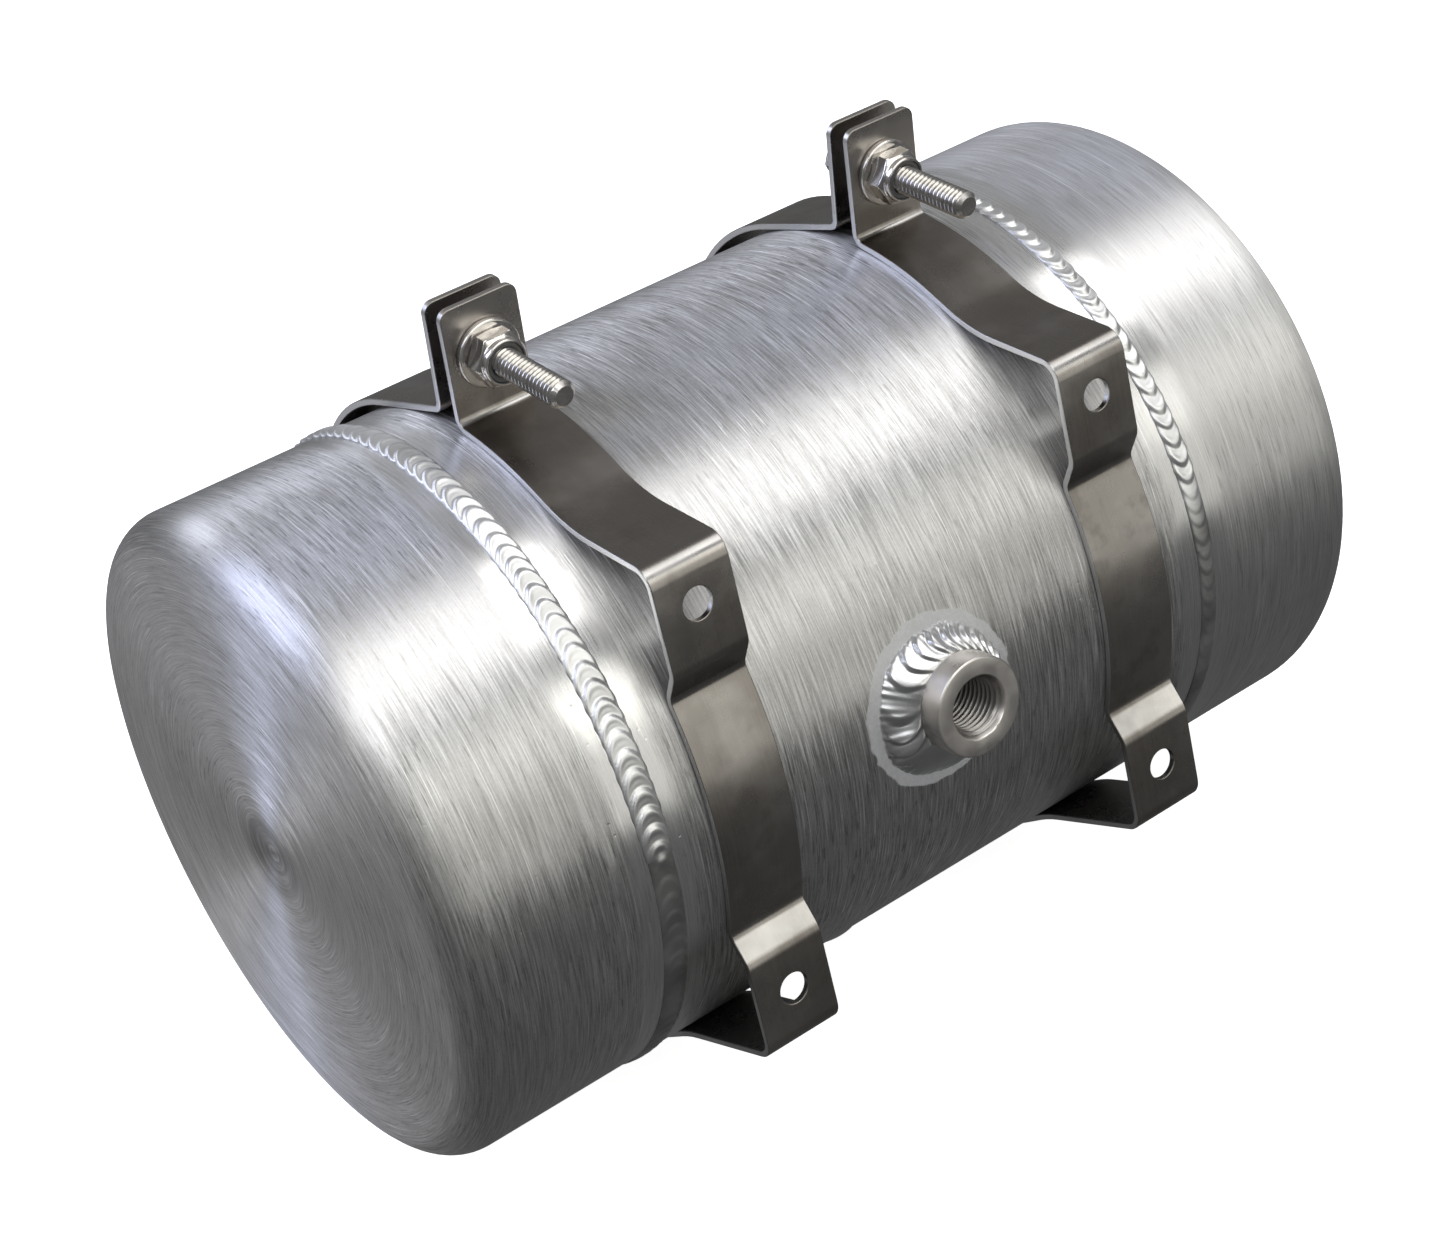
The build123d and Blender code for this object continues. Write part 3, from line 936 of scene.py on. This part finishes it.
def floor():
    """Plain pale floor, just under the part."""
    g = Graph("floor_paint")
    speck = g.noise(g.place, 3.0, 2.0)
    tone = g.mixed(speck, grey(0.90), grey(0.92))
    paint = g.finish(Base_Color=tone, Roughness=0.9)
    g.shader.inputs["Emission Color"].default_value = grey(1.0)
    g.shader.inputs["Emission Strength"].default_value = 0.86
    reach = 12.0
    level = cad_box[0].z - 0.5 * MM
    corners = [(reach * x, reach * y, level) for x, y in ((-1, -1), (1, -1), (1, 1), (-1, 1))]
    data = bpy.data.meshes.new("floor")
    data.from_pydata(corners, [], [(0, 1, 2, 3)])
    data.materials.append(paint)
    plane = bpy.data.objects.new("floor", data)
    bpy.context.scene.collection.objects.link(plane)
    plane.visible_glossy = False
    plane.visible_shadow = False


def soft_light(name, offset, size, power, colour):
    """Rectangular light at an offset from the middle of the tank, aimed at it."""
    light = bpy.data.lights.new(name, "AREA")
    light.shape = "RECTANGLE"
    light.size, light.size_y = size
    light.energy = power
    light.color = colour
    lamp = bpy.data.objects.new(name, light)
    lamp.location = tank_axis + Vector(offset)
    lamp.rotation_mode = "QUATERNION"
    lamp.rotation_quaternion = (-Vector(offset)).to_track_quat("-Z", "Y")
    bpy.context.scene.collection.objects.link(lamp)


def sky():
    """Pale room above, dark below, so that the metal has something to reflect."""
    world = bpy.data.worlds.new("room")
    bpy.context.scene.world = world
    world.use_nodes = True
    tree = world.node_tree
    tree.nodes.clear()
    place = tree.nodes.new("ShaderNodeTexCoord")
    split = tree.nodes.new("ShaderNodeSeparateXYZ")
    ramp = tree.nodes.new("ShaderNodeValToRGB")
    shade = tree.nodes.new("ShaderNodeBackground")
    output = tree.nodes.new("ShaderNodeOutputWorld")
    height = tree.nodes.new("ShaderNodeMapRange")
    height.inputs["From Min"].default_value = -1.0
    tree.links.new(place.outputs["Generated"], split.inputs[0])
    tree.links.new(split.outputs[2], height.inputs["Value"])
    tree.links.new(height.outputs[0], ramp.inputs[0])
    tree.links.new(ramp.outputs[0], shade.inputs[0])
    tree.links.new(shade.outputs[0], output.inputs[0])
    # Brightness from straight down, at 0, to straight up, at 1.
    stops = [
        (0.0, 0.10), (0.15, 0.11), (0.32, 0.145), (0.47, 0.16), (0.55, 0.20), (0.75, 0.38), (1.0, 0.41),
    ]
    elements = ramp.color_ramp.elements
    while len(elements) < len(stops):
        elements.new(0.5)
    for element, (position, level) in zip(elements, stops):
        element.position = position
        element.color = grey(level, -0.01)


floor()
sky()
bpy.context.scene.view_settings.view_transform = "Standard"

soft_light("key_softbox", (0.35, -0.90, 1.60), (2.6, 0.9), 18.3, (1.0, 0.99, 0.97))
soft_light("front_fill", (0.6, -1.9, 0.78), (1.8, 0.80), 8.9, (1.0, 0.99, 0.92))
soft_light("low_fill", (0.6, -1.9, -0.10), (1.8, 0.9), 4.9, (1.0, 0.99, 0.92))
soft_light("left_fill", (-1.45, -1.15, 1.35), (1.2, 0.8), 8.5, (0.97, 0.98, 1.0))
soft_light("cool_rim", (-1.4, 0.65, 1.4), (1.3, 1.2), 21.0, (0.66, 0.72, 1.0))
soft_light("back_window", (-0.3, 1.6, 1.10), (1.2, 0.5), 5.0, (0.80, 0.84, 1.0))
soft_light("end_window", (-0.9, 1.55, -0.75), (1.4, 1.0), 1.3, (0.95, 0.95, 1.0))

# The camera's right, down and forward directions, and its place from the middle of the tank.
camera_right = Vector((0.7882, -0.5760, -0.2170))
camera_down = Vector((-0.4170, -0.2405, -0.8765))
camera_forward = Vector((0.4527, 0.7813, -0.4297))
lens = bpy.data.cameras.new("photo_camera")
lens.sensor_width = 36.0
lens.lens = 72.70
lens.clip_start = 0.01
eye = bpy.data.objects.new("photo_camera", lens)
turn = Matrix((camera_right, -camera_down, -camera_forward)).transposed().to_4x4()
eye.matrix_world = Matrix.Translation(tank_axis + Vector((-0.31051, -0.52779, 0.28836))) @ turn
bpy.context.scene.collection.objects.link(eye)
bpy.context.scene.camera = eye
